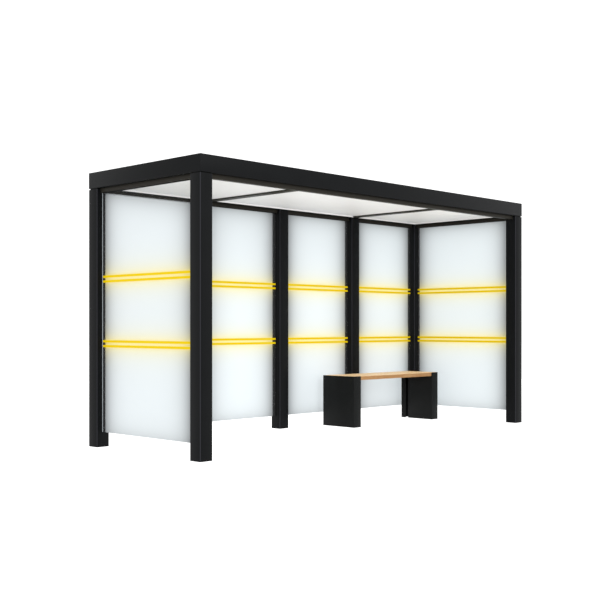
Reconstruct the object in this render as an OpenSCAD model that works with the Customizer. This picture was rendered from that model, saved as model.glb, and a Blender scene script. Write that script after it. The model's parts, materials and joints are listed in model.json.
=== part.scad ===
// Bus shelter: an open-fronted frame of black square posts under a flat roof ring,
// with satin glass on both ends and along the back, and a timber bench.
// X runs along the shelter, the open long side faces -Y, and Z is up.
// The origin is the middle of the footprint, on the ground.

/* [Overall] */
// Length over the end posts
length = 4400; // [3600:10:6000]
// Depth over the front and rear posts
depth = 1450; // [1200:10:2400]
// Height from the ground to the top of the roof ring
height = 2300; // [2100:10:2800]

/* [Posts] */
// Width of a square post
post_w = 120; // [100:1:160]
// Wall of the post tube
post_wall = 4; // [3:0.5:8]
// Thickness of the plate that closes a post at its foot
foot_t = 10; // [5:1:25]
// Height of the shadow joint between a post and the roof ring
joint_h = 4; // [2:0.5:10]
// How far the shadow joint is set in from the faces
joint_inset = 2; // [1:0.5:2.5]

/* [Roof ring] */
// Height of the roof ring
ring_h = 135; // [110:1:200]
// Width of the roof ring, seen from below
ring_w = 120; // [100:1:160]
// Wall of the ring tube
ring_wall = 4; // [3:0.5:8]

/* [Head rails] */
// Height of the rail under the roof ring
rail_h = 36; // [30:1:60]
// Width of the rail
rail_w = 50; // [36:1:70]
// Wall of the rail tube
rail_wall = 3; // [2:0.5:5]

/* [Roof] */
// Width of a cross beam's flange, seen from below
flange_w = 86; // [40:1:120]
// How far the left cross beam lies to the right of its post
left_cross_shift = 150; // [0:5:250]
// Thickness of the flange, which is how far the ceiling lies above the ring's underside
flange_t = 12; // [8:1:20]
// Thickness of a cross beam's web
web_t = 8; // [5:1:20]
// Thickness of the ceiling sheet
ceiling_t = 3; // [2:0.5:6]
// Height of the folded edge of a ceiling tray
ceiling_edge = 40; // [15:1:60]
// Thickness of the roof sheet
deck_t = 3; // [2:0.5:6]
// How far the roof sheet lies below the top of the ring
deck_drop = 40; // [20:1:60]
// How far the roof sheet's folded edge stops below the top of the ring
deck_edge_drop = 5; // [1:1:15]
// Gap around a sheet tray
tray_gap = 0.3; // [0:0.1:0.8]

/* [Glass] */
// Thickness of a pane
glass_t = 10; // [6:1:12]
// Height of the glass above the ground
glass_foot = 125; // [40:1:250]
// Depth of the glazing grooves in posts and rails
groove_d = 12; // [8:1:18]
// How far a pane stops short of the bottom of a groove
groove_play = 2; // [1:0.5:4]
// Gap on each side of the glass in its groove
glass_gap = 0.3; // [0.1:0.1:0.8]

/* [Marking lines] */
// Height of one line
line_h = 18; // [8:1:30]
// Distance between the two lines of a pair
line_pitch = 40; // [32:1:80]
// Height of the lower pair's middle
low_pair_z = 865; // [700:5:1000]
// Height of the upper pair's middle
high_pair_z = 1405; // [1200:5:1700]
// Thickness of the film
film_t = 0.5; // [0.3:0.1:1]
// Gap between the film's ends and the posts
film_gap = 2; // [0:0.5:10]

/* [Bench] */
// Length over the bench legs
bench_l = 1380; // [900:10:1800]
// Depth of the bench
bench_d = 420; // [300:5:600]
// Height of the seat
bench_h = 510; // [400:5:600]
// Clear space between the bench and the right-hand posts
bench_end_gap = 180; // [20:5:600]
// Clear space between the bench and the rear posts
bench_back_gap = 40; // [5:5:200]
// Length of one leg along the bench
leg_l = 105; // [70:1:160]
// Thickness of the leg plates
leg_t = 6; // [4:1:10]
// Width of the lip that the leg turns inwards at the back
rear_lip_w = 60; // [40:1:120]
// Width of the groove between the leg's two lips
lip_groove = 34; // [20:1:240]
// Thickness of a seat board
board_t = 40; // [25:1:60]
// Gap between two seat boards
board_gap = 6; // [3:0.5:15]
// Gap between the boards and the leg plates
seat_gap = 0.3; // [0.1:0.1:0.8]
// Height of the bearer under the boards
bearer_h = 35; // [20:1:60]
// Thickness of the bearer
bearer_t = 8; // [5:1:15]

/* [Hidden] */
REAR_BAYS = 4;
SEAT_BOARDS = 4;
PAIR = [-1, 1];

// Posts stand on the corners and divide the rear wall into equal bays.
post_x = length / 2 - post_w / 2;
post_y = depth / 2 - post_w / 2;
bay = 2 * post_x / REAR_BAYS;
function rear_x(i) = -post_x + i * bay;

// Levels
ring_z = height - ring_h;
rail_z = ring_z - rail_h;
ceiling_z = ring_z + flange_t;
deck_z = height - deck_drop;

// Glazing grooves
groove_w = glass_t + 2 * glass_gap;
bite = groove_d - groove_play;
pane_top = rail_z + bite;

// Inner faces of the roof ring, and the rear posts that carry the cross beams
roof_x = length / 2 - ring_w;
roof_y = depth / 2 - ring_w;
CROSS_POSTS = [1, 3];
CROSS_SHIFTS = [left_cross_shift, 0];
function cross_x(k) = rear_x(CROSS_POSTS[k]) + CROSS_SHIFTS[k];

// Bench
bench_right = length / 2 - post_w - bench_end_gap;
bench_left = bench_right - bench_l;
bench_rear = depth / 2 - post_w - bench_back_gap;
bench_front = bench_rear - bench_d;
seat_z = bench_h - board_t;
seat_front = bench_front + leg_t + seat_gap;
seat_d = bench_d - 2 * (leg_t + seat_gap);
board_w = (seat_d - (SEAT_BOARDS - 1) * board_gap) / SEAT_BOARDS;
board_x = bench_left + leg_t + seat_gap;
board_l = bench_l - 2 * (leg_t + seat_gap);

FRAME = "#26282b";
CEILING = "#e8e8e8";
GLASS = [0.92, 0.95, 0.98, 0.55];
LINE = "#f7cd14";
TIMBER = "#d9ab74";

// A block between its lowest and its highest corner
module block(low, high) {
    translate(low) cube(high - low);
}

// A block of plan size w by d around the Z axis, from z0 to z1
module upright(w, d, z0, z1) {
    block([-w / 2, -d / 2, z0], [w / 2, d / 2, z1]);
}

// The slot for a pane in the +X face of a post. grow widens it into the slot's own walls.
module post_slot(grow) {
    block([post_w / 2 - groove_d - grow, -groove_w / 2 - grow, glass_foot - grow],
          [post_w / 2 + 1, groove_w / 2 + grow, height]);
}

// A square tube with a closed foot, a shadow joint at its head, and a walled
// glazing slot in each face that a pane enters. sides holds those faces' directions.
module post(x, y, sides) {
    inner = post_w - 2 * post_wall;
    neck = post_w - 2 * joint_inset;
    color(FRAME) translate([x, y, 0]) difference() {
        union() {
            upright(post_w, post_w, 0, ring_z - joint_h);
            upright(neck, neck, ring_z - joint_h - foot_t, ring_z);
        }
        difference() {
            upright(inner, inner, foot_t, height);
            for (side = sides) rotate(side) post_slot(post_wall);
        }
        for (side = sides) rotate(side) post_slot(0);
    }
}

module rear_post(i) {
    post(rear_x(i), post_y, [0, 180]);
}

// One side of the roof ring: a tube whose ends are mitred at 45 degrees.
// It is drawn for the front side and turned into place.
module ring_side(turn, span, reach) {
    color(FRAME) rotate(turn) intersection() {
        difference() {
            block([-span / 2, -reach, ring_z], [span / 2, ring_w - reach, height]);
            block([-span / 2 - 1, ring_wall - reach, ring_z + ring_wall],
                  [span / 2 + 1, ring_w - ring_wall - reach, height - ring_wall]);
        }
        translate([0, 0, ring_z]) linear_extrude(ring_h) polygon([
            [-span / 2, -reach], [span / 2, -reach],
            [span / 2 - ring_w, ring_w - reach], [ring_w - span / 2, ring_w - reach]
        ]);
    }
}

// A roof cross beam: a T whose flange carries the edges of two ceiling trays
// and whose web carries the roof sheet.
module cross_beam(k) {
    color(FRAME) translate([cross_x(k), 0, 0]) union() {
        block([-flange_w / 2, -roof_y, ring_z], [flange_w / 2, roof_y, ceiling_z]);
        block([-web_t / 2, -roof_y, ceiling_z], [web_t / 2, roof_y, deck_z - deck_t]);
    }
}

// A rail tube along X, centred on the origin, with its top at the ring's underside.
// A glazed rail has a walled slot in its underside.
module rail_tube(span, glazed) {
    color(FRAME) difference() {
        block([-span / 2, -rail_w / 2, rail_z], [span / 2, rail_w / 2, ring_z]);
        difference() {
            block([-span / 2 - 1, rail_wall - rail_w / 2, rail_z + rail_wall],
                  [span / 2 + 1, rail_w / 2 - rail_wall, ring_z - rail_wall]);
            if (glazed) rail_slot(span + 4, rail_wall);
        }
        if (glazed) rail_slot(span + 4, 0);
    }
}

module rail_slot(span, grow) {
    block([-span / 2, -groove_w / 2 - grow, rail_z - 1],
          [span / 2, groove_w / 2 + grow, rail_z + groove_d + grow]);
}

module front_head_rail() {
    translate([0, -post_y, 0]) rail_tube(2 * post_x - post_w, false);
}

module end_head_rail(side) {
    translate([side * post_x, 0, 0]) rotate(90) rail_tube(2 * post_y - post_w, true);
}

module rear_head_rail(i) {
    translate([rear_x(i - 0.5), post_y, 0]) rail_tube(bay - post_w, true);
}

// A pane along X for a clear width between two posts, let into the grooves on three sides
module pane(clear) {
    color(GLASS)
        block([-clear / 2 - bite, -glass_t / 2, glass_foot], [clear / 2 + bite, glass_t / 2, pane_top]);
}

module end_pane(side) {
    translate([side * post_x, 0, 0]) rotate(90) pane(2 * post_y - post_w);
}

module rear_pane(i) {
    translate([rear_x(i - 0.5), post_y, 0]) pane(bay - post_w);
}

// Two pairs of marking lines, as films on both faces of a pane
module pane_lines(clear) {
    reach = clear / 2 - film_gap;
    for (pair_z = [low_pair_z, high_pair_z], step = PAIR, face = PAIR) {
        z = pair_z + step * line_pitch / 2;
        y = face * (glass_t + film_t) / 2;
        color(LINE) block([-reach, y - film_t / 2, z - line_h / 2], [reach, y + film_t / 2, z + line_h / 2]);
    }
}

module end_pane_lines(side) {
    translate([side * post_x, 0, 0]) rotate(90) pane_lines(2 * post_y - post_w);
}

module rear_pane_lines(i) {
    translate([rear_x(i - 0.5), post_y, 0]) pane_lines(bay - post_w);
}

// A sheet folded up on all four sides, between x0 and x1
module tray(x0, x1, sheet_z, sheet_t, edge_h) {
    low = [x0 + tray_gap, tray_gap - roof_y];
    high = [x1 - tray_gap, roof_y - tray_gap];
    difference() {
        block([low.x, low.y, sheet_z], [high.x, high.y, sheet_z + edge_h]);
        block([low.x + sheet_t, low.y + sheet_t, sheet_z + sheet_t],
              [high.x - sheet_t, high.y - sheet_t, sheet_z + edge_h + 1]);
    }
}

module ceiling(x0, x1) {
    color(CEILING) tray(x0, x1, ceiling_z, ceiling_t, ceiling_edge);
}

module left_ceiling() {
    ceiling(-roof_x, cross_x(0) - web_t / 2);
}

module middle_ceiling() {
    ceiling(cross_x(0) + web_t / 2, cross_x(1) - web_t / 2);
}

module right_ceiling() {
    ceiling(cross_x(1) + web_t / 2, roof_x);
}

module roof_sheet() {
    edge_h = deck_drop + deck_t - deck_edge_drop;
    color(FRAME) tray(-roof_x, roof_x, deck_z - deck_t, deck_t, edge_h);
}

// A bench leg that opens towards the seat: a plate on the outside, one at the front and one
// at the back, and two lips. The lips stop under the bearer's top, where the boards pass over.
module bench_leg() {
    lip_x = leg_l - leg_t;
    color(FRAME) union() {
        block([0, 0, 0], [leg_t, bench_d, bench_h]);
        for (y = [0, bench_d - leg_t]) block([0, y, 0], [leg_l, y + leg_t, bench_h]);
        block([lip_x, 0, 0], [leg_l, bench_d - rear_lip_w - lip_groove, seat_z]);
        block([lip_x, bench_d - rear_lip_w, 0], [leg_l, bench_d, seat_z]);
    }
}

// The bearer closes the leg's opening under the boards and stands behind the lips.
module bench_bearer() {
    lip_x = leg_l - leg_t;
    color(FRAME)
        block([lip_x - bearer_t, leg_t, seat_z - bearer_h], [lip_x, bench_d - leg_t, seat_z]);
}

// Places a leg piece at the left end of the bench, or mirrored at its right end
module at_left() {
    translate([bench_left, bench_front, 0]) children();
}

module at_right() {
    translate([bench_right, bench_front, 0]) mirror([1, 0, 0]) children();
}

module seat_board(i) {
    y = seat_front + (i - 1) * (board_w + board_gap);
    color(TIMBER) block([board_x, y, seat_z], [board_x + board_l, y + board_w, bench_h]);
}

post(-post_x, -post_y, [90]);  // front_left_post
post(post_x, -post_y, [90]);  // front_right_post
post(-post_x, post_y, [0, -90]);  // rear_left_post
post(post_x, post_y, [180, -90]);  // rear_right_post
for (i = [1:REAR_BAYS - 1]) rear_post(i);
ring_side(0, length, depth / 2);  // front_beam
ring_side(180, length, depth / 2);  // rear_beam
ring_side(-90, depth, length / 2);  // left_beam
ring_side(90, depth, length / 2);  // right_beam
cross_beam(0);  // left_cross_beam
cross_beam(1);  // right_cross_beam
front_head_rail();
end_head_rail(-1);  // left_head_rail
end_head_rail(1);  // right_head_rail
for (i = [1:REAR_BAYS]) rear_head_rail(i);
end_pane(-1);  // left_pane
end_pane(1);  // right_pane
for (i = [1:REAR_BAYS]) rear_pane(i);
end_pane_lines(-1);  // left_pane_lines
end_pane_lines(1);  // right_pane_lines
for (i = [1:REAR_BAYS]) rear_pane_lines(i);
left_ceiling();
middle_ceiling();
right_ceiling();
roof_sheet();
at_left() bench_leg();  // bench_left_leg
at_right() bench_leg();  // bench_right_leg
at_left() bench_bearer();  // bench_left_bearer
at_right() bench_bearer();  // bench_right_bearer
for (i = [1:SEAT_BOARDS]) seat_board(i);
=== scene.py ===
# %% [markdown]
# # A bus shelter in satin glass and black powder coat
# The engineering model comes first and is never moved: it gives every place and size.
# Around it, each visible piece is modelled again as a maker would finish it, with rounded
# edges, rubber strips and screws, and each gets a material named for the real one.

import json
import math

import bmesh
import bpy
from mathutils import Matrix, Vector

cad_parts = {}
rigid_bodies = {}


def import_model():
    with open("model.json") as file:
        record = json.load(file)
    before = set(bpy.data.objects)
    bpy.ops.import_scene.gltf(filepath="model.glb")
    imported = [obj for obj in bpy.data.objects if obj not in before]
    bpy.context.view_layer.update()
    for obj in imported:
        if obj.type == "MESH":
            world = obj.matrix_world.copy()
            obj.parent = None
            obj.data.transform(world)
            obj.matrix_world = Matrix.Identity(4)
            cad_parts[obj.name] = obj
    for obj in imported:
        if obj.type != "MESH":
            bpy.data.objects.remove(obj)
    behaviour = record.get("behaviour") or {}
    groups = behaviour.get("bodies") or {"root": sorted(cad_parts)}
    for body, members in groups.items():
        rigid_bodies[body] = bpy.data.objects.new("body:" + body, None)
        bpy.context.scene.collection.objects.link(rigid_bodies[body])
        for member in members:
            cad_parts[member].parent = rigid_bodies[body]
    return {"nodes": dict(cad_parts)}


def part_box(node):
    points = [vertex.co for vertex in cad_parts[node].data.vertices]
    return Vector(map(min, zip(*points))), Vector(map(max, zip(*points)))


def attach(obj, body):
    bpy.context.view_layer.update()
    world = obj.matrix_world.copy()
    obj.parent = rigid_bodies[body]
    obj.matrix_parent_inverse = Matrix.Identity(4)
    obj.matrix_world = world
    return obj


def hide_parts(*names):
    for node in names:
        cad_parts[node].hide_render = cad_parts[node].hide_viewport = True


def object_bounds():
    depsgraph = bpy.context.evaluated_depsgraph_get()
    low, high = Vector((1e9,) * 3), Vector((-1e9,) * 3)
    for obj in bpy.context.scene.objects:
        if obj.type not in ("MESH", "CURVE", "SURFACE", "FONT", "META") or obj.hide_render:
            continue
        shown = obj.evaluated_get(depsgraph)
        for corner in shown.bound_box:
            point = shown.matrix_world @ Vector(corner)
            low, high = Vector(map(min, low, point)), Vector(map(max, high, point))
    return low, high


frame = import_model()
CAD_LOW, CAD_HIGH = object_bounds()
MM = 0.001
print("frame of", len(frame["nodes"]), "nodes, box", tuple(CAD_LOW), tuple(CAD_HIGH))

# %% [markdown]
# ## Colours
# Paint and wood are matched in the values that a screen shows, and a renderer counts
# in linear light. One function turns the one into the other, so that every colour below can
# be written as a hex value.


# %% Hex colours to linear light
def linear(hex_value):
    """An sRGB hex colour as linear red, green, blue and alpha."""
    parts = [int(hex_value[i : i + 2], 16) / 255 for i in (1, 3, 5)]
    light = [c / 12.92 if c <= 0.04045 else ((c + 0.055) / 1.055) ** 2.4 for c in parts]
    return (*light, 1.0)


print("mid grey is", round(linear("#808080")[0], 3))

# %% [markdown]
# ## One helper for nodes
# A material is a small machine of nodes. This helper adds one node, sets its values and
# links its inputs, so each line of a material reads as one step of the finish. Some inputs
# share a name, and those are given by number: i0 and i1 are the two numbers of a sum, i0 is
# also the share of a mix, and i6 and i7 are the two colours that it mixes.


# %% Add a node with its settings and links
def add(tree, kind, settings=None, **inputs):
    """Adds a node. Settings are its own options; inputs are values or other nodes' outputs."""
    node = tree.nodes.new(kind)
    for name, value in (settings or {}).items():
        setattr(node, name, value)
    for name, value in inputs.items():
        socket = node.inputs[int(name[1:])] if name[1:].isdigit() else node.inputs[name.replace("_", " ")]
        if isinstance(value, bpy.types.NodeSocket):
            tree.links.new(value, socket)
        else:
            socket.default_value = value
    return node


def new_material(name):
    """An empty material, with its tree and its output node."""
    material = bpy.data.materials.new(name)
    material.use_nodes = True
    material.node_tree.nodes.clear()
    output = material.node_tree.nodes.new("ShaderNodeOutputMaterial")
    return material, material.node_tree, output


print("node helper ready")

# %% [markdown]
# ## Powder coat
# The frame is steel that was sprayed with black polyester powder and baked. The powder melts
# into a skin with a faint orange peel, a few millimetres from crest to crest, and a satin
# sheen. The eye sees a near black that turns to dark grey where it mirrors the sky. The sheen
# varies a little over a hand's width, as the thickness of the coat does. On a tube's outer
# corners a paler colour is painted as a highlight, which draws a fine line down each corner.
# Pieces carry that as an attribute, and a piece without it has no painted corner highlight.
# A second one marks the neck of an open joint, where two parts of the frame meet, and paints
# it near black as painted shade in the recess.

# %% Black powder-coated steel
PEEL = 3.0 * MM
PEEL_HEIGHT = 0.05 * MM
PEEL_STRENGTH = 0.05
COAT_PATCH = 180 * MM
PATCH_LIFT = 1.35
SHEEN_SPREAD = 0.05
COAT_SHINE = 0.05
# Painted highlight: the paler colour painted down the rounded corners of a tube.
PAINTED_CORNER_HIGHLIGHT = "#303035"
# Painted shade: the near black painted into the open joint under the roof ring.
JOINT_SHADE = "#010101"


def powder_coat(name, colour, sheen):
    material, tree, output = new_material(name)
    place = add(tree, "ShaderNodeTexCoord").outputs["Object"]
    patch = add(tree, "ShaderNodeTexNoise", Vector=place, Scale=1 / COAT_PATCH, Detail=3.0)
    rough = add(
        tree, "ShaderNodeMapRange",
        Value=patch.outputs["Fac"], To_Min=sheen - SHEEN_SPREAD, To_Max=sheen + SHEEN_SPREAD,
    )
    red, green, blue, alpha = linear(colour)
    lifted = (PATCH_LIFT * red, PATCH_LIFT * green, PATCH_LIFT * blue, alpha)
    tone = add(
        tree, "ShaderNodeMix", {"data_type": "RGBA"},
        i0=patch.outputs["Fac"], i6=linear(colour), i7=lifted,
    )
    corner = add(tree, "ShaderNodeAttribute", {"attribute_name": "corner"}).outputs["Fac"]
    # Painted highlight: the marked corners take the paler colour.
    corner_highlighted = add(
        tree, "ShaderNodeMix", {"data_type": "RGBA"}, i0=corner, i6=tone.outputs[2], i7=linear(PAINTED_CORNER_HIGHLIGHT)
    )
    # Painted shade: the marked neck of a joint is painted near black.
    joint = add(tree, "ShaderNodeAttribute", {"attribute_name": "joint"}).outputs["Fac"]
    joint_shaded = add(
        tree, "ShaderNodeMix", {"data_type": "RGBA"}, i0=joint, i6=corner_highlighted.outputs[2], i7=linear(JOINT_SHADE)
    )
    peel = add(tree, "ShaderNodeTexNoise", Vector=place, Scale=1 / PEEL, Detail=1.0)
    bump = add(
        tree, "ShaderNodeBump",
        Strength=PEEL_STRENGTH, Distance=PEEL_HEIGHT, Height=peel.outputs["Fac"],
    )
    skin = add(
        tree, "ShaderNodeBsdfPrincipled",
        Base_Color=joint_shaded.outputs[2], Roughness=rough.outputs[0], Normal=bump.outputs[0],
    )
    skin.inputs["Specular IOR Level"].default_value = COAT_SHINE
    tree.links.new(skin.outputs[0], output.inputs["Surface"])
    return material


FRAME_COAT = powder_coat("powder_coated_steel_black", "#0d0e0f", 0.38)
# The rail, cross-beam and bench coats are the same black powder painted lighter and warmer: painted light,
# for the light that the floor throws up on them.
RAIL_COAT_PAINTED_LIGHT = powder_coat("powder_coated_steel_rail_painted_light", "#211f1b", 0.4)
CROSS_COAT_PAINTED_LIGHT = powder_coat("powder_coated_steel_cross_beam_painted_light", "#31302b", 0.4)
BENCH_COAT_PAINTED_LIGHT = powder_coat("powder_coated_steel_bench_painted_light", "#131414", 0.44)
print("powder coats made")

# %% [markdown]
# ## Working by hand, in code
# Every new piece starts as a cube at its real size and place. Edit mode then shapes it. An
# operator works on what is selected, so one helper opens a piece with exactly the corners,
# edges or faces that a test picks, and another makes the starting block. What repeats, such
# as a post or a board, is modelled once and then copied, each copy with its own mesh.

# %% Blocks and picking
TINY = 0.01 * MM
SMOOTH_UNDER = math.radians(35)
PARTS = {"VERT": "verts", "EDGE": "edges", "FACE": "faces"}


def put_down():
    """Leaves edit mode, with nothing selected."""
    if bpy.context.object and bpy.context.object.mode != "OBJECT":
        bpy.ops.object.mode_set(mode="OBJECT")
    bpy.ops.object.select_all(action="DESELECT")


def block(name, low, high):
    """A cube between two corners, with its place in its mesh and its object at the origin."""
    put_down()
    low, high = Vector(low), Vector(high)
    bpy.ops.mesh.primitive_cube_add(size=1, location=(low + high) / 2, scale=high - low)
    bpy.ops.object.transform_apply(location=True, rotation=True, scale=True)
    piece = bpy.context.object
    piece.name = piece.data.name = name
    return piece


def take(piece):
    """Selects one piece and nothing else."""
    put_down()
    piece.select_set(True)
    bpy.context.view_layer.objects.active = piece


def pick(piece, kind, test):
    """Opens a piece in edit mode, with only the parts selected that pass the test."""
    take(piece)
    bpy.ops.object.mode_set(mode="EDIT")
    bpy.ops.mesh.select_mode(type=kind)
    bpy.ops.mesh.select_all(action="DESELECT")
    mesh = bmesh.from_edit_mesh(piece.data)
    mesh.normal_update()
    for part in getattr(mesh, PARTS[kind]):
        if test(part):
            part.select_set(True)
    mesh.select_flush_mode()
    bmesh.update_edit_mesh(piece.data)


def runs(edge, axis):
    """True for an edge along that axis."""
    step = edge.verts[0].co - edge.verts[1].co
    return abs(step[axis]) > 0.999 * step.length


def round_edges(piece, radius, test=lambda edge: True, steps=2):
    """Rounds the edges that pass the test."""
    pick(piece, "EDGE", test)
    bpy.ops.mesh.bevel(offset=radius, segments=steps, affect="EDGES", clamp_overlap=True)
    put_down()


def copy_of(piece, name, shift=(0, 0, 0)):
    """A copy of a piece with its own mesh, moved by a shift, with its object at the origin."""
    take(piece)
    bpy.ops.object.duplicate()
    copy = bpy.context.object
    bpy.ops.object.parent_clear(type="CLEAR_KEEP_TRANSFORM")
    copy.location += Vector(shift)
    bpy.ops.object.transform_apply(location=True, rotation=True, scale=True)
    copy.name = copy.data.name = name
    return copy


def joined(name, pieces):
    """Several pieces as one object."""
    put_down()
    for piece in pieces:
        piece.select_set(True)
    bpy.context.view_layer.objects.active = pieces[0]
    bpy.ops.object.join()
    whole = bpy.context.object
    whole.name = whole.data.name = name
    return whole


def finish_piece(piece, material, slot, *nodes):
    """Gives a finished piece its material, its body and the engineering nodes it stands for."""
    take(piece)
    bpy.ops.object.shade_smooth_by_angle(angle=SMOOTH_UNDER)
    piece.data.materials.clear()
    piece.data.materials.append(material)
    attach(piece, "root")
    if nodes:
        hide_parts(*nodes)
    put_down()
    return piece


print("helpers for blocks, edges and copies ready")

# %% [markdown]
# ## Posts
# A post is a square steel tube. A rolled tube has a corner radius, here 4.5 mm, and that small
# round catches a highlight from the lamp in front, and the coat also paints it paler as a
# painted highlight, which together draw the thin pale line down each corner. At its head the
# post stops a few millimetres short of the roof ring on a smaller neck, painted near black as
# painted shade in the recess, which reads as a fine dark joint. It could be boolean-cut, but
# inset and extrude of the top face give the same neck with clean edges. The first inset goes
# in by the corner radius, where the round corners shrink to points that are merged, so that
# the neck comes out square.

# %% Seven posts
POSTS = ["front_left_post", "front_right_post", "rear_left_post", "rear_right_post"]
POSTS += [f"rear_post_{i}" for i in (1, 2, 3)]
JOINT_H = 8 * MM
JOINT_INSET = 9 * MM
TUBE_RADIUS = 4.5 * MM


def mark(piece, name, low, high, nearest, furthest):
    """Marks the corners of a mesh whose distances in from the sides are both in that range."""
    attribute = piece.data.attributes.new(name, "FLOAT", "POINT")
    for vertex, value in zip(piece.data.vertices, attribute.data):
        off = [min(vertex.co[a] - low[a], high[a] - vertex.co[a]) for a in (0, 1)]
        value.value = float(nearest < min(off) and max(off) < furthest)


def shape_post(node):
    """One post at its place, with its neck."""
    low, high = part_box(node)
    post = block("coated_" + node, low, (high[0], high[1], high[2] - JOINT_H))
    round_edges(post, TUBE_RADIUS, lambda e: runs(e, 2), steps=3)
    # Marks the rounded corners, which the coat paints paler as a highlight.
    mark(post, "corner", low, high, TINY, TUBE_RADIUS - TINY)
    pick(post, "FACE", lambda f: f.normal.z > 0.9)
    bpy.ops.mesh.inset(thickness=TUBE_RADIUS)
    bpy.ops.mesh.remove_doubles(threshold=TUBE_RADIUS / 4)
    bpy.ops.mesh.inset(thickness=JOINT_INSET - TUBE_RADIUS)
    bpy.ops.mesh.extrude_region_move(TRANSFORM_OT_translate={"value": (0, 0, JOINT_H)})
    put_down()
    # Marks the neck, which the coat paints near black as painted shade in the joint.
    mark(post, "joint", low, high, (TUBE_RADIUS + JOINT_INSET) / 2, TUBE_RADIUS + JOINT_INSET)
    return post


first_post = shape_post(POSTS[0])
for node in POSTS[1:]:
    shift = Vector(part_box(node)[0]) - Vector(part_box(POSTS[0])[0])
    finish_piece(copy_of(first_post, "coated_" + node, shift), FRAME_COAT, "frame", node)
finish_piece(first_post, FRAME_COAT, "frame", POSTS[0])
print(len(POSTS), "posts, each with", len(first_post.data.polygons), "faces")

# %% [markdown]
# ## Roof ring
# Four box beams make the flat band around the roof, and they meet in mitres at the corners.
# Each starts as a block over its full outer length. Its inner corners are then slid inwards
# by the beam's width, which turns square ends into 45 degree mitres. The long edges get the
# tube's radius and the cut ends only a ground arris, so the mitre stays a hairline.

# %% Four mitred sides
RING = {"front_beam": 0, "rear_beam": 0, "left_beam": 1, "right_beam": 1}
ARRIS = 0.8 * MM


def make_ring_side(node, along):
    low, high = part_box(node)
    across = 1 - along
    width = high[across] - low[across]
    inner = min(low[across], high[across], key=abs)
    side = block("coated_" + node, low, high)
    for end in (low[along], high[along]):
        pick(side, "VERT", lambda v: abs(v.co[across] - inner) < TINY and abs(v.co[along] - end) < TINY)
        slide = [0, 0, 0]
        slide[along] = -math.copysign(width, end)
        bpy.ops.transform.translate(value=slide)
    round_edges(side, TUBE_RADIUS, lambda e: runs(e, along), steps=3)
    round_edges(side, ARRIS, lambda e: runs(e, 2) and e.calc_length() > width / 2, steps=2)
    return finish_piece(side, FRAME_COAT, "frame", node)


for node, along in RING.items():
    made = make_ring_side(node, along)
print(len(RING), "ring sides, the last with", len(made.data.polygons), "faces")

# %% [markdown]
# ## Head rails
# Under the ring, a slimmer rail runs between the posts and holds the top of the glass. It is
# a plain rolled section, so a block with a small radius on its long edges is the real thing.

# %% Seven head rails
RAILS = {"front_head_rail": 0, "left_head_rail": 1, "right_head_rail": 1}
RAILS.update({f"rear_head_rail_{i}": 0 for i in (1, 2, 3, 4)})
RAIL_RADIUS = 1.5 * MM


def make_rail(node, along):
    rail = block("coated_" + node, *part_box(node))
    round_edges(rail, RAIL_RADIUS, lambda e: runs(e, along))
    return finish_piece(rail, RAIL_COAT_PAINTED_LIGHT, "frame", node)


for node, along in RAILS.items():
    made = make_rail(node, along)
print(len(RAILS), "head rails")

# %% [markdown]
# ## Folded and welded steel
# The cross beams and the bench are plates with an outline that the engineering model already
# has. Here the quickest honest way is to copy that mesh, merge its loose triangles back into
# whole faces, and break the sharp edges as a finisher does before coating.


# %% Copy a plate piece and break its edges
PLATE_EASE = 1.0 * MM
FLAT_UNDER = math.radians(1)
SHARP_OVER = math.radians(30)


def eased_copy(node, radius, steps=2):
    """A copy of a node's mesh with merged faces and rounded edges."""
    piece = copy_of(frame["nodes"][node], "coated_" + node)
    pick(piece, "FACE", lambda f: True)
    bpy.ops.mesh.remove_doubles(threshold=TINY)
    bpy.ops.mesh.dissolve_limited(angle_limit=FLAT_UNDER)
    bpy.ops.mesh.select_all(action="DESELECT")
    bpy.ops.mesh.select_mode(type="EDGE")
    bpy.ops.mesh.edges_select_sharp(sharpness=SHARP_OVER)
    bpy.ops.mesh.bevel(offset=radius, segments=steps, affect="EDGES", clamp_overlap=True)
    put_down()
    return piece


CROSS_BEAMS = ["left_cross_beam", "right_cross_beam"]
for node in CROSS_BEAMS:
    made = finish_piece(eased_copy(node, PLATE_EASE), CROSS_COAT_PAINTED_LIGHT, "frame", node)
print("cross beams with", len(made.data.polygons), "faces each")

# %% [markdown]
# ## Ceiling and roof sheet
# Both are aluminium sheets folded up along their edges, like shallow trays. A tray is a block
# whose top face is inset by the sheet's thickness and pushed down. The ceiling is coated
# white and brushed, so it shows fine streaks along the shelter and only a soft sheen. The
# roof sheet is a darker mat grey, because nobody sees it from the street.

# %% Sheet trays
SHEET_T = 3 * MM
FOLD_RADIUS = 1.5 * MM
STREAK = 5 * MM
STREAK_LENGTH = 600 * MM
STREAK_HEIGHT = 0.1 * MM
CLOUD = 700 * MM
SHEET_SHINE = 0.3


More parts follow.
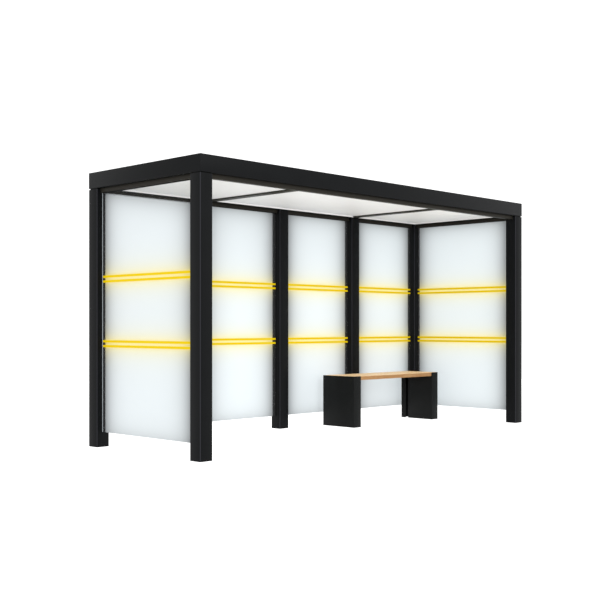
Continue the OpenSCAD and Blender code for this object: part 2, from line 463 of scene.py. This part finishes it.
def brushed_sheet(name, light, dark, roughness, streaks):
    material, tree, output = new_material(name)
    place = add(tree, "ShaderNodeTexCoord").outputs["Object"]
    stretch = (1 / STREAK_LENGTH, 1 / STREAK, 1 / STREAK)
    drawn = add(tree, "ShaderNodeMapping", Vector=place, Scale=stretch)
    streak = add(tree, "ShaderNodeTexNoise", Vector=drawn.outputs[0], Scale=1.0, Detail=4.0, Roughness=0.6)
    cloud = add(tree, "ShaderNodeTexNoise", Vector=place, Scale=1 / CLOUD, Detail=2.0)
    both = add(
        tree, "ShaderNodeMix", i0=1 - streaks, i2=streak.outputs["Fac"], i3=cloud.outputs["Fac"],
    )
    tone = add(tree, "ShaderNodeMapRange", Value=both.outputs[0], From_Min=0.3, From_Max=0.7)
    colour = add(
        tree, "ShaderNodeMix", {"data_type": "RGBA"},
        i0=tone.outputs[0], i6=linear(dark), i7=linear(light),
    )
    bump = add(
        tree, "ShaderNodeBump", Strength=0.15, Distance=STREAK_HEIGHT, Height=streak.outputs["Fac"]
    )
    skin = add(
        tree, "ShaderNodeBsdfPrincipled", Base_Color=colour.outputs[2], Normal=bump.outputs[0],
    )
    skin.inputs["Roughness"].default_value = roughness
    skin.inputs["Specular IOR Level"].default_value = SHEET_SHINE
    tree.links.new(skin.outputs[0], output.inputs["Surface"])
    return material


def make_tray(node, material, slot):
    tray = block("folded_" + node, *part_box(node))
    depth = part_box(node)[1][2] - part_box(node)[0][2] - SHEET_T
    pick(tray, "FACE", lambda f: f.normal.z > 0.9)
    bpy.ops.mesh.inset(thickness=SHEET_T)
    bpy.ops.mesh.extrude_region_move(TRANSFORM_OT_translate={"value": (0, 0, -depth)})
    floor_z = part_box(node)[0][2]
    round_edges(tray, FOLD_RADIUS, lambda e: all(abs(v.co.z - floor_z) < TINY for v in e.verts))
    return finish_piece(tray, material, slot, node)


CEILING_SHEET = brushed_sheet("brushed_coated_aluminium_white", "#e8e7e7", "#e0dfdf", 0.5, 0.6)
ROOF_SHEET = brushed_sheet("coated_aluminium_roof_grey", "#2d2f32", "#26282b", 0.7, 0.3)
for node in ("left_ceiling", "middle_ceiling", "right_ceiling"):
    made = make_tray(node, CEILING_SHEET, "ceiling")
make_tray("roof_sheet", ROOF_SHEET, "roof_sheet")
print("trays made, the last ceiling with", len(made.data.polygons), "faces")

# %% [markdown]
# The ceiling lies a little above the ring's underside, and that step would show as a second
# dark stripe under it. A white bead, folded from the ceiling's own sheet, covers the step all
# round. It could be a fold of the trays themselves, but straight strips of their own keep the
# trays plain and end cleanly at the cross beams.

# %% White bead around each ceiling field
BEAD_T = 3 * MM
BEAD_RADIUS = 1 * MM


def make_bead(low, high):
    bead = block("bead", low, high)
    round_edges(bead, BEAD_RADIUS, lambda e: all(abs(v.co.z - low[2]) < TINY for v in e.verts))
    return bead


def make_edge_beads():
    foot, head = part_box("front_beam")[0][2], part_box("left_ceiling")[0][2]
    left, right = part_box("left_beam")[1][0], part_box("right_beam")[0][0]
    front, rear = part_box("front_beam")[1][1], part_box("rear_beam")[0][1]
    flanges = [corner[0] for node in CROSS_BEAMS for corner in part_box(node)]
    stops = sorted([left, right, *flanges])
    beads = []
    for start, end in zip(stops[::2], stops[1::2]):
        for y in (front, rear - BEAD_T):
            beads.append(make_bead((start, y, foot), (end, y + BEAD_T, head)))
    for x in (left, right - BEAD_T):
        beads.append(make_bead((x, front + BEAD_T, foot), (x + BEAD_T, rear - BEAD_T, head)))
    return finish_piece(joined("ceiling_edge_beads", beads), CEILING_SHEET, "ceiling")


made = make_edge_beads()
print("edge beads with", len(made.data.polygons), "faces")

# %% [markdown]
# ## Satin glass
# The walls are toughened glass with an etched, milky face. It takes the light of both sides,
# a share of it glows on its own as painted light, and it hides what stands behind it. A narrow
# margin beside each post is left clear, and shows the steel behind. Along that margin, under
# the rail and along the foot, the milk is painted greyer: painted shade, where less light gets
# into it. Around each yellow line a soft yellow halo is painted into the milk: a painted glow.
#
# A mix of four shaders says this plainly: one that shows the light in front, one that shows
# the light behind, one that glows on its own as painted light, and a clear one. What steers it
# is how far a point lies inside the etched field, which each pane carries as an attribute, and
# its height.

# %% Sizes of the etched field and its shades
FILM_EDGES = sorted({round(v.co.z, 5) for v in frame["nodes"]["left_pane_lines"].data.vertices})
LINE_HEIGHTS = [(low + high) / 2 for low, high in zip(FILM_EDGES[::2], FILM_EDGES[1::2])]
LINE_H = FILM_EDGES[1] - FILM_EDGES[0]
GLASS_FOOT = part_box("left_pane")[0][2]
RAIL_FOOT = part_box("left_head_rail")[0][2]
SOFT_EDGE = 10 * MM
# Painted shade: the milk is painted greyer beside the posts, under the rail and along the foot.
SIDE_SHADE, SIDE_REACH = 0.56, 85 * MM
TOP_SHADE, TOP_REACH = 0.36, 70 * MM
FOOT_SHADE, FOOT_REACH = 0.20, 60 * MM
# Painted glow: a soft yellow halo painted into the milk around each line.
HALO_SHADE, HALO_REACH = 0.28, 60 * MM
NEAR_GLOW_SHADE, NEAR_GLOW_REACH = 0.30, 6 * MM
# Painted reflection: a thin veil of the milk kept over the clear glass.
CLEAR_PAINTED_REFLECTION = 0.012
ETCH_ROUGHNESS, ETCH_SHINE = 0.4, 0.3
# Painted light: the share of the milk, and of the film, that glows on its own.
PAINTED_GLOW_SHARE = 0.3
MILK_PAINTED_SHADE, MILK_MOST = "#1a1e22", "#e6ebed"
PAINTED_GLOW_YELLOW = "#ffea62"
print("etched from", round(GLASS_FOOT, 3), "to", round(RAIL_FOOT, 3), "m")
print("lines at", [round(line, 4) for line in LINE_HEIGHTS], "each", round(LINE_H, 4), "m high")

# %% [markdown]
# The painted shades and the painted halo all fade in the same way, fast at first and then
# slowly. That is an exponential. One helper writes a fade as nodes, and another says how much
# light several fades leave together.


# %% Fades and the light they leave
def fading(tree, distance, strength, reach):
    """The strength at no distance, fading out past the reach."""
    scaled = add(tree, "ShaderNodeMath", {"operation": "DIVIDE"}, i0=distance, i1=-reach)
    fade = add(tree, "ShaderNodeMath", {"operation": "EXPONENT"}, i0=scaled.outputs[0])
    faded = add(tree, "ShaderNodeMath", {"operation": "MULTIPLY"}, i0=fade.outputs[0], i1=strength)
    return faded.outputs[0]


def left_over(tree, *shades):
    """The light that is left after several shades."""
    light = 1.0
    for shade in shades:
        passed = add(tree, "ShaderNodeMath", {"operation": "SUBTRACT"}, i0=1.0, i1=shade).outputs[0]
        light = add(tree, "ShaderNodeMath", {"operation": "MULTIPLY"}, i0=passed, i1=light).outputs[0]
    return light


print("fades ready")


# %% [markdown]
# A texture would have to be drawn for every pane. The arithmetic is the same for all of them,
# and stays sharp at any distance. A thin bluish veil of the milk stays over the clear glass as
# well: a painted reflection, for the faint reflection that clear glass gives.


# %% The satin glass material
def halo_of_lines(tree, height):
    """How much painted yellow glow the four lines spread into the milk at a height."""
    halo = 0.0
    for line in LINE_HEIGHTS:
        above = add(tree, "ShaderNodeMath", {"operation": "SUBTRACT"}, i0=height, i1=line).outputs[0]
        away = add(tree, "ShaderNodeMath", {"operation": "ABSOLUTE"}, i0=above).outputs[0]
        past = add(tree, "ShaderNodeMath", {"operation": "SUBTRACT"}, i0=away, i1=LINE_H / 2).outputs[0]
        beside = add(tree, "ShaderNodeMath", {"operation": "MAXIMUM"}, i0=past, i1=0.0).outputs[0]
        for shade, reach in ((HALO_SHADE, HALO_REACH), (NEAR_GLOW_SHADE, NEAR_GLOW_REACH)):
            painted_glow = fading(tree, beside, shade, reach)
            halo = add(tree, "ShaderNodeMath", {"operation": "ADD"}, i0=painted_glow, i1=halo).outputs[0]
    return add(tree, "ShaderNodeMath", {"operation": "MINIMUM"}, i0=halo, i1=1.0).outputs[0]


def satin_glass(name):
    material, tree, output = new_material(name)
    place = add(tree, "ShaderNodeTexCoord").outputs["Object"]
    height = add(tree, "ShaderNodeSeparateXYZ", Vector=place).outputs["Z"]
    reach = add(tree, "ShaderNodeAttribute", {"attribute_name": "inside_field"}).outputs["Vector"]
    ends = add(tree, "ShaderNodeSeparateXYZ", Vector=reach)
    to_side = add(
        tree, "ShaderNodeMath", {"operation": "MINIMUM"}, i0=ends.outputs["X"], i1=ends.outputs["Y"]
    ).outputs[0]
    from_side = add(tree, "ShaderNodeMath", {"operation": "MAXIMUM"}, i0=to_side, i1=0.0).outputs[0]
    below_top = add(
        tree, "ShaderNodeMath", {"operation": "MAXIMUM"}, i0=ends.outputs["Z"], i1=0.0
    ).outputs[0]
    from_foot = add(
        tree, "ShaderNodeMath", {"operation": "SUBTRACT"}, i0=height, i1=GLASS_FOOT
    ).outputs[0]

    light = left_over(
        tree,
        fading(tree, from_side, SIDE_SHADE, SIDE_REACH),
        fading(tree, below_top, TOP_SHADE, TOP_REACH),
        fading(tree, from_foot, FOOT_SHADE, FOOT_REACH),
    )
    # Painted shade: the milk's colour mixes towards a near-black grey where the fades leave less light.
    milk = add(
        tree, "ShaderNodeMix", {"data_type": "RGBA"},
        i0=light, i6=linear(MILK_PAINTED_SHADE), i7=linear(MILK_MOST),
    )
    tint = add(
        tree, "ShaderNodeMix", {"data_type": "RGBA"},
        i0=halo_of_lines(tree, height), i6=milk.outputs[2], i7=linear(PAINTED_GLOW_YELLOW),
    ).outputs[2]

    nearest = add(
        tree, "ShaderNodeMath", {"operation": "MINIMUM"}, i0=to_side, i1=ends.outputs["Z"]
    ).outputs[0]
    shut = add(
        tree, "ShaderNodeMapRange", {"interpolation_type": "SMOOTHSTEP"},
        Value=nearest, From_Min=-SOFT_EDGE, From_Max=SOFT_EDGE, To_Min=CLEAR_PAINTED_REFLECTION,
    ).outputs[0]

    face = add(tree, "ShaderNodeBsdfPrincipled", Base_Color=tint)
    face.inputs["Roughness"].default_value = ETCH_ROUGHNESS
    face.inputs["Specular IOR Level"].default_value = ETCH_SHINE
    back = add(tree, "ShaderNodeBsdfTranslucent", Color=tint)
    lit = add(tree, "ShaderNodeMixShader", i0=0.5, i1=face.outputs[0], i2=back.outputs[0])
    # Painted light: a share of the milk glows on its own.
    painted_glow = add(tree, "ShaderNodeEmission", Color=tint)
    milky = add(tree, "ShaderNodeMixShader", i0=PAINTED_GLOW_SHARE, i1=lit.outputs[0], i2=painted_glow.outputs[0])
    clear = add(tree, "ShaderNodeBsdfTransparent", Color=linear("#ffffff"))
    pane = add(tree, "ShaderNodeMixShader", i0=shut, i1=clear.outputs[0], i2=milky.outputs[0])
    tree.links.new(pane.outputs[0], output.inputs["Surface"])
    return material


ETCHED_GLASS = satin_glass("acid_etched_toughened_glass")
print("etched glass made")

# %% [markdown]
# ## Panes
# A pane is a block with its sharp edges ground to a 1 mm arris, as toughened glass always
# has. How far each corner lies inside the etched field, from its two sides and its top, is
# stored on it, and the renderer fills in between, so one material fits panes of every width
# and place. The left-hand pane has the widest clear margin, and its field slopes down towards
# the front, so that the ceiling shows through a long clear triangle. Below, margins are the
# clear widths at the start and the end of a pane, and tops say how far above the rail's foot
# the etched field ends there. A pane reaches a little way into the grooves around it.

# %% Six panes
PANES = {"left_pane": 1, "right_pane": 1}
PANES.update({f"rear_pane_{i}": 0 for i in (1, 2, 3, 4)})
MARGINS = {"left_pane": (60 * MM, 40 * MM), "right_pane": (34 * MM, 34 * MM)}
REAR_MARGINS = (50 * MM, 50 * MM)
TOPS = {"left_pane": (-193 * MM, -5 * MM)}
LEVEL_TOPS = (SOFT_EDGE, SOFT_EDGE)
IN_GROOVE = 10 * MM
PANE_ARRIS = 1.0 * MM


def make_pane(node, along):
    low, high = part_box(node)
    start_margin, end_margin = MARGINS.get(node, REAR_MARGINS)
    start_top, end_top = TOPS.get(node, LEVEL_TOPS)
    pane = block("etched_" + node, low, high)
    round_edges(pane, PANE_ARRIS, steps=1)
    inside = pane.data.attributes.new("inside_field", "FLOAT_VECTOR", "POINT")
    for corner, value in zip(pane.data.vertices, inside.data):
        start = corner.co[along] - low[along] - IN_GROOVE
        end = high[along] - IN_GROOVE - corner.co[along]
        top = RAIL_FOOT + (start_top * end + end_top * start) / (start + end)
        value.vector = (start - start_margin, end - end_margin, top - corner.co.z)
    return finish_piece(pane, ETCHED_GLASS, "glass", node)


for node, along in PANES.items():
    made = make_pane(node, along)
print(len(PANES), "panes, the last with", len(made.data.polygons), "faces")

# %% [markdown]
# ## Glazing rubbers
# The glass isn't clamped steel to glass: a black rubber strip lies along both its faces, in
# the corner that it makes with the posts and the rail. Each strip is a thin block with a
# rounded nose. All strips of a pane are one piece, because they are fitted as one. Rubber is
# mat, with a faint greyish bloom of dust in patches about a centimetre wide. The left-hand
# end is the weather side, and a bead of light grey silicone seals its outer face instead.

# %% Black rubber and grey silicone
DUST_PATCH = 11 * MM
MOULDED_ROUGHNESS, MOULDED_SHINE = 0.7, 0.15


def moulded_rubber(name, dark, light):
    material, tree, output = new_material(name)
    place = add(tree, "ShaderNodeTexCoord").outputs["Object"]
    dust = add(tree, "ShaderNodeTexNoise", Vector=place, Scale=1 / DUST_PATCH, Detail=3.0)
    colour = add(
        tree, "ShaderNodeMix", {"data_type": "RGBA"},
        i0=dust.outputs["Fac"], i6=linear(dark), i7=linear(light),
    )
    skin = add(tree, "ShaderNodeBsdfPrincipled", Base_Color=colour.outputs[2])
    skin.inputs["Roughness"].default_value = MOULDED_ROUGHNESS
    skin.inputs["Specular IOR Level"].default_value = MOULDED_SHINE
    tree.links.new(skin.outputs[0], output.inputs["Surface"])
    return material


RUBBER = moulded_rubber("extruded_rubber_black", "#0a0a0b", "#161617")
SILICONE = moulded_rubber("silicone_bead_grey", "#8d9297", "#9ca1a5")
print("rubber and silicone made")

# %% [markdown]
# The strips are placed from the pane's own box. On each face there is one beside each post and
# one under the rail, between those two, so that no strip runs through another.

# %% Rubber strips for each pane
STRIP_W = 6 * MM
STRIP_T = 4 * MM
STRIP_NOSE = 1.5 * MM


def make_strip(along, span, depth, rise, nose):
    """One strip between two places along the wall, through its depth and up its height."""
    corners = [[0, 0, rise[0]], [0, 0, rise[1]]]
    for corner, a, c in zip(corners, span, sorted(depth)):
        corner[along], corner[1 - along] = a, c
    strip = block("strip", *corners)
    round_edges(strip, STRIP_NOSE, lambda e: all(abs(v.co[1 - along] - nose) < TINY for v in e.verts))
    return strip


def make_strips(node, along, nose_side):
    """The two upright strips and the top one on one face of a pane."""
    low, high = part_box(node)
    start, end = low[along] + IN_GROOVE, high[along] - IN_GROOVE
    face = (low, high)[nose_side > 0][1 - along]
    nose = face + nose_side * STRIP_T
    depth = (face, nose)
    upright = (low[2], RAIL_FOOT)
    sides = [
        make_strip(along, (start, start + STRIP_W), depth, upright, nose),
        make_strip(along, (end - STRIP_W, end), depth, upright, nose),
    ]
    between = (start + STRIP_W, end - STRIP_W)
    top = make_strip(along, between, depth, (RAIL_FOOT - STRIP_W, RAIL_FOOT), nose)
    return sides, top


OUTER = {"left_pane": -1}
for node, along in PANES.items():
    black = []
    for nose_side in (-1, 1):
        sides, top = make_strips(node, along, nose_side)
        black.append(top)
        if OUTER.get(node) == nose_side:
            finish_piece(joined("silicone_" + node, sides), SILICONE, "frame")
        else:
            black += sides
    made = finish_piece(joined("rubber_" + node, black), RUBBER, "frame")
print(len(PANES), "sets of rubber strips, the last with", len(made.data.polygons), "faces")

# %% [markdown]
# ## Marking lines
# The lines are cast vinyl film, so people see the glass. The engineering films already have
# the right outline and stay as they are. The film is an even, slightly warm traffic yellow
# with a soft gloss, and a share of it glows on its own: painted light, for the light that
# shines through it from behind.

# %% Yellow film
TONE_PATCH = 70 * MM
FILM_ROUGHNESS, FILM_SHINE = 0.35, 0.05


def vinyl_film(name):
    material, tree, output = new_material(name)
    place = add(tree, "ShaderNodeTexCoord").outputs["Object"]
    blush = add(tree, "ShaderNodeTexNoise", Vector=place, Scale=1 / TONE_PATCH, Detail=2.0)
    colour = add(
        tree, "ShaderNodeMix", {"data_type": "RGBA"},
        i0=blush.outputs["Fac"], i6=linear("#d4b400"), i7=linear("#dabb02"),
    )
    skin = add(tree, "ShaderNodeBsdfPrincipled", Base_Color=colour.outputs[2])
    skin.inputs["Roughness"].default_value = FILM_ROUGHNESS
    skin.inputs["Specular IOR Level"].default_value = FILM_SHINE
    # Painted light: a share of the film glows on its own.
    painted_glow = add(tree, "ShaderNodeEmission", Color=colour.outputs[2])
    film = add(tree, "ShaderNodeMixShader", i0=PAINTED_GLOW_SHARE, i1=skin.outputs[0], i2=painted_glow.outputs[0])
    tree.links.new(film.outputs[0], output.inputs["Surface"])
    return material


FILM = vinyl_film("cast_vinyl_film_yellow")
for node in PANES:
    film = frame["nodes"][node + "_lines"]
    film.data.materials.clear()
    film.data.materials.append(FILM)
print("film on", len(PANES), "panes")

# %% [markdown]
# ## Bench legs
# Each leg is a folded steel plate that opens towards the seat, with a flat bearer behind its
# lips. A press brake leaves a soft outside radius, which the eased copy gives.

# %% Legs and bearers
LEG_EASE = 1.8 * MM
for node in ("bench_left_leg", "bench_right_leg"):
    made = finish_piece(eased_copy(node, LEG_EASE), BENCH_COAT_PAINTED_LIGHT, "bench_frame", node)
for node in ("bench_left_bearer", "bench_right_bearer"):
    finish_piece(eased_copy(node, PLATE_EASE), BENCH_COAT_PAINTED_LIGHT, "bench_frame", node)
print("bench legs with", len(made.data.polygons), "faces each")

# %% [markdown]
# ## Oiled oak
# The boards are planed oak under clear oil. Seen close, the grain is long dark pores among
# pale fibres, a millimetre or two apart, which wander in slow waves along the board. Noise
# that is stretched along the board draws both: a broad one for the growth rings, and a fine
# one for the pores. Every board takes its own part of the pattern, as it is cut from its own
# place in the log. Faces that look up keep the full colour, and faces that look sideways are
# painted darker: painted shade that follows which way a face looks.

# %% The oak material
RING_WIDTH = 14 * MM
PORE_WIDTH = 1.6 * MM
GRAIN_LENGTH = 260 * MM
PORE_LENGTH = 45 * MM
PORE_DEPTH = 0.2 * MM
DARK_RING, PALE_RING = "#ecc08a", "#fce2bc"
PORE_BROWN = "#cf9a62"
# Painted shade for the faces that look sideways.
SIDE_PAINTED_SHADE = "#a08c70"
OAK_ROUGHNESS, OAK_SHINE = 0.48, 0.3


def oiled_oak(name):
    material, tree, output = new_material(name)
    place = add(tree, "ShaderNodeTexCoord").outputs["Object"]
    board = add(tree, "ShaderNodeAttribute", {"attribute_name": "board"}).outputs["Vector"]
    place = add(tree, "ShaderNodeVectorMath", {"operation": "ADD"}, i0=place, i1=board).outputs[0]
    rings_at = add(
        tree, "ShaderNodeMapping", Vector=place, Scale=(1 / GRAIN_LENGTH, 1 / RING_WIDTH, 1 / RING_WIDTH)
    )
    rings = add(
        tree, "ShaderNodeTexNoise", Vector=rings_at.outputs[0], Scale=1.0, Detail=3.0, Distortion=0.6
    )
    pores_at = add(
        tree, "ShaderNodeMapping", Vector=place, Scale=(1 / PORE_LENGTH, 1 / PORE_WIDTH, 1 / PORE_WIDTH)
    )
    pores = add(tree, "ShaderNodeTexNoise", Vector=pores_at.outputs[0], Scale=1.0, Detail=2.0)
    ramp = add(tree, "ShaderNodeValToRGB", Fac=rings.outputs["Fac"])
    for stop, (position, shade) in zip(ramp.color_ramp.elements, ((0.32, DARK_RING), (0.66, PALE_RING))):
        stop.position = position
        stop.color = linear(shade)
    between = add(tree, "ShaderNodeMapRange", Value=pores.outputs["Fac"], From_Min=0.33, From_Max=0.46)
    colour = add(
        tree, "ShaderNodeMix", {"data_type": "RGBA"},
        i0=between.outputs[0], i6=linear(PORE_BROWN), i7=ramp.outputs[0],
    )
    # Painted shade: sideways faces take the darker colour, upward faces keep the full colour.
    facing = add(tree, "ShaderNodeNewGeometry").outputs["Normal"]
    upward = add(tree, "ShaderNodeSeparateXYZ", Vector=facing).outputs["Z"]
    facing_up = add(tree, "ShaderNodeMapRange", Value=upward, From_Min=0.1, From_Max=0.8)
    sideways_shaded = add(
        tree, "ShaderNodeMix", {"data_type": "RGBA", "blend_type": "MULTIPLY"},
        i0=1.0, i6=colour.outputs[2], i7=linear(SIDE_PAINTED_SHADE),
    )
    shaded_by_facing = add(
        tree, "ShaderNodeMix", {"data_type": "RGBA"},
        i0=facing_up.outputs[0], i6=sideways_shaded.outputs[2], i7=colour.outputs[2],
    )
    bump = add(tree, "ShaderNodeBump", Strength=0.3, Distance=PORE_DEPTH, Height=between.outputs[0])
    skin = add(
        tree, "ShaderNodeBsdfPrincipled", Base_Color=shaded_by_facing.outputs[2], Normal=bump.outputs[0],
    )
    skin.inputs["Roughness"].default_value = OAK_ROUGHNESS
    skin.inputs["Specular IOR Level"].default_value = OAK_SHINE
    tree.links.new(skin.outputs[0], output.inputs["Surface"])
    return material


OAK = oiled_oak("oiled_oak_planed")
print("oak made")

# %% [markdown]
# ## Seat boards
# A board is planed square and its long edges are rounded over, so a sitter doesn't feel them.
# Where a long round meets an end corner, the two bevels leave corners at one place, and those
# are merged. The boards are alike, so one is shaped and copied. Each then stores its own place
# in the log, a long step away from the one before.

# %% Four boards
BOARDS = [f"seat_board_{i}" for i in (1, 2, 3, 4)]
BOARD_ROUND = 3.5 * MM
BOARD_ARRIS = 1.0 * MM
LOG_STEP = Vector((370, 110, 230)) * MM


def shape_board(node):
    """One planed board at its place."""
    board = block("oak_" + node, *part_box(node))
    round_edges(board, BOARD_ROUND, lambda e: runs(e, 0), steps=3)
    round_edges(board, BOARD_ARRIS, lambda e: runs(e, 2), steps=2)
    pick(board, "VERT", lambda v: True)
    bpy.ops.mesh.remove_doubles(threshold=TINY)
    put_down()
    return board


def saw_from_log(board, number):
    """Stores on a board how far along the log it was sawn."""
    own = board.data.attributes.new("board", "FLOAT_VECTOR", "POINT")
    for value in own.data:
        value.vector = LOG_STEP * number


first_board = shape_board(BOARDS[0])
boards = [first_board]
for node in BOARDS[1:]:
    shift = Vector(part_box(node)[0]) - Vector(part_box(BOARDS[0])[0])
    boards.append(copy_of(first_board, "oak_" + node, shift))
for number, (board, node) in enumerate(zip(boards, BOARDS)):
    saw_from_log(board, number)
    finish_piece(board, OAK, "seat", node)
print(len(BOARDS), "boards, each with", len(first_board.data.polygons), "faces")

# %% [markdown]
# ## Screws
# The flange of each cross beam is screwed up into the ceiling trays. The heads are low domes
# in the colour of the beam. One dome is a short cylinder with its lower edge rounded and a
# socket sunk into it, and it is copied along both edges of the flange.

# %% Screws under the cross beams
SCREW_R = 5 * MM
SCREW_H = 2.4 * MM
SCREW_ROW = 290 * MM
SCREW_EDGE = 12 * MM
SCREW_ROUND = 1.6 * MM
SOCKET_RIM = 1.4 * MM
SOCKET_DEPTH = 1.2 * MM


def shape_screw(at):
    put_down()
    bpy.ops.mesh.primitive_cylinder_add(
        vertices=16, radius=SCREW_R, depth=SCREW_H, location=(at[0], at[1], at[2] - SCREW_H / 2)
    )
    bpy.ops.object.transform_apply(location=True, rotation=True, scale=True)
    screw = bpy.context.object
    foot = at[2] - SCREW_H
    round_edges(screw, SCREW_ROUND, lambda e: all(abs(v.co.z - foot) < TINY for v in e.verts), steps=3)
    pick(screw, "FACE", lambda f: f.normal.z < -0.99 and f.calc_area() > SCREW_R**2)
    bpy.ops.mesh.inset(thickness=SOCKET_RIM)
    bpy.ops.mesh.extrude_region_move(TRANSFORM_OT_translate={"value": (0, 0, SOCKET_DEPTH)})
    put_down()
    return screw


def make_screws(node):
    low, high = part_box(node)
    count = round((high[1] - low[1]) / SCREW_ROW)
    pitch = (high[1] - low[1]) / count
    across = high[0] - low[0] - 2 * SCREW_EDGE
    first = shape_screw((low[0] + SCREW_EDGE, low[1] + pitch / 2, low[2]))
    shifts = [(x, k * pitch, 0) for x in (0, across) for k in range(count)]
    screws = [first] + [copy_of(first, "screw", shift) for shift in shifts[1:]]
    return finish_piece(joined(node + "_screws", screws), CROSS_COAT_PAINTED_LIGHT, "frame")


for node in CROSS_BEAMS:
    made = make_screws(node)
print("screws, the last set with", len(made.data.polygons), "faces")

# %% [markdown]
# ## Floor and light
# The shelter stands on a plain white floor in an even white studio, so its own tones tell
# its form. The floor glows faintly, which keeps it white under the roof. Broad lights behind
# and beside the shelter fill its glass and its ceiling, a small one in front draws the corner
# of the nearest post, and one high in front lights the bench.

# %% Studio
FLOOR_SIZE = 80.0
FLOOR_DROP = 1 * MM
FLOOR_GREY = "#5e5e5e"
FLOOR_ROUGHNESS = 0.9
FLOOR_GLOW = 1.3
SKY_GLOW = 1.3


def studio_floor():
    put_down()
    bpy.ops.mesh.primitive_plane_add(size=FLOOR_SIZE, location=(0, 0, -FLOOR_DROP))
    floor = bpy.context.object
    floor.name = "studio_floor"
    material, tree, output = new_material("studio_white")
    skin = add(tree, "ShaderNodeBsdfPrincipled")
    skin.inputs["Base Color"].default_value = linear(FLOOR_GREY)
    skin.inputs["Roughness"].default_value = FLOOR_ROUGHNESS
    skin.inputs["Specular IOR Level"].default_value = 0.0
    skin.inputs["Emission Color"].default_value = linear("#ffffff")
    skin.inputs["Emission Strength"].default_value = FLOOR_GLOW
    tree.links.new(skin.outputs[0], output.inputs["Surface"])
    floor.data.materials.append(material)


def studio_light(name, at, target, size, power):
    bpy.ops.object.light_add(type="AREA", location=at)
    lamp = bpy.context.object
    lamp.name = name
    lamp.data.shape = "SQUARE"
    lamp.data.size = size
    lamp.data.energy = power
    lamp.rotation_euler = (Vector(target) - Vector(at)).to_track_quat("-Z", "Y").to_euler()


studio_floor()
studio_light("left_softbox", at=(-10.5, 4.5, 2.6), target=(0, 0, 1.2), size=6.0, power=55)
studio_light("rear_softbox", at=(2.5, 9.5, 2.2), target=(0.5, 0, 1.2), size=7.0, power=690)
studio_light("right_softbox", at=(9.5, 4.0, 2.2), target=(2, 0, 1.2), size=6.0, power=1100)
studio_light("front_softbox", at=(-8.4, -7.4, 2.6), target=(0, 0, 1.2), size=0.8, power=180)
studio_light("bench_softbox", at=(-0.5, -7.0, 4.6), target=(1.3, 0.35, 0.5), size=3.0, power=175)
world = bpy.data.worlds.new("studio_world")
world.use_nodes = True
world.node_tree.nodes["Background"].inputs["Color"].default_value = linear("#ffffff")
world.node_tree.nodes["Background"].inputs["Strength"].default_value = SKY_GLOW
scene = bpy.context.scene
scene.world = world
scene.view_settings.view_transform = "Standard"

# %% [markdown]
# ## Camera
# The view is from the open side, past the left-hand corner, at the height of a sitting
# person's eyes. The camera is level, so that the posts stay upright, and its lens is shifted
# up a little instead of tilted.

# %% Camera
EYE_LEFT, EYE_FRONT, EYE_HEIGHT = 4.902, 5.823, 1.014
EYE = Vector((CAD_LOW.x - EYE_LEFT, CAD_LOW.y - EYE_FRONT, EYE_HEIGHT))
TURN = math.radians(45.68)
LEVEL = math.radians(90)
LENS = 61.18
SHIFT_UP = 0.0431
VIEW_END = 200
put_down()
bpy.ops.object.camera_add(location=EYE, rotation=(LEVEL, 0, -TURN))
camera = bpy.context.object
camera.data.lens = LENS
camera.data.shift_y = SHIFT_UP
camera.data.clip_end = VIEW_END
scene.camera = camera
print("camera", round((EYE - (CAD_LOW + CAD_HIGH) / 2).length, 2), "m from the middle of the shelter")
